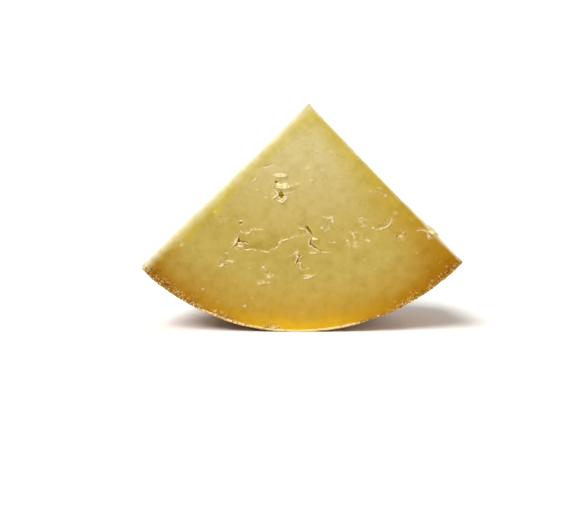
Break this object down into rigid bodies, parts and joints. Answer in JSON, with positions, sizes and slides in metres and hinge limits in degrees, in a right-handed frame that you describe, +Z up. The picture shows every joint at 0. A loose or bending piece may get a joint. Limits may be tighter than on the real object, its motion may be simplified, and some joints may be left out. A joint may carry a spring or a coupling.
{
  "type": "cheese wheel quarter",
  "caption": "Quarter of a natural-rind cheese wheel, split at mid-height, standing on its round rim with its pale, slightly torn cut face to the front.",
  "frame": {"origin": "on the ground, under the middle of the part's bounding box", "axes": "+Z up; the big cut face looks along -Y, leaning back a little; +X to the right of someone who looks at that face"},
  "size_m": [0.175, 0.0678, 0.1235],
  "materials": {
    "cheese": "matt, slightly moist"
  },
  "bodies": {
    "root": {"cheese_wedge": "cheese"}
  },
  "joints": []
}
